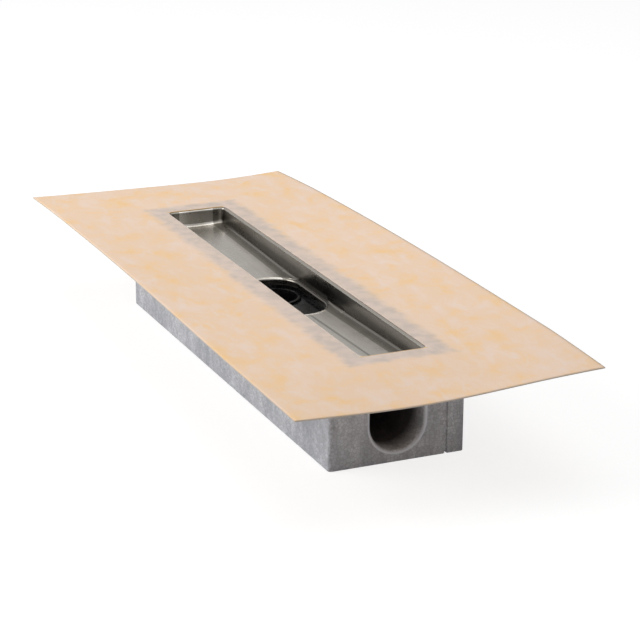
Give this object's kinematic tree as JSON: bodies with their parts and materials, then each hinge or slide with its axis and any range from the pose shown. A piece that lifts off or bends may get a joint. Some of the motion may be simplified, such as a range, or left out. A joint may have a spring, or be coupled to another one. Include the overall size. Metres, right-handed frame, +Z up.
{
  "type": "channel drain",
  "caption": "Shower channel drain: drawn steel trough with oval outlet and fleece collar, hung with its plastic trap housing in a foam support block with a pipe slot.",
  "frame": {"origin": "on the floor, under the middle of the foam block and of the collar", "axes": "+X along the channel towards the pipe slot, +Y across towards the snap-off strip, +Z up"},
  "size_m": [0.722, 0.288, 0.1076],
  "materials": {
    "expanded_foam": "matte moulded bead foam",
    "stainless_steel": "satin drawn sheet",
    "fleece_membrane": "fleece-faced film",
    "black_plastic": "moulded, glossy",
    "rubber_seal": "matte",
    "spring_steel": "bright strip"
  },
  "bodies": {
    "root": {"foam_support": "expanded_foam", "channel_trough": "stainless_steel", "sealing_collar": "fleece_membrane", "drain_housing": "black_plastic", "outlet_socket": "black_plastic", "housing_gasket": "rubber_seal", "housing_clips": "spring_steel", "trap_insert": "black_plastic", "trap_cup": "black_plastic"}
  },
  "joints": []
}
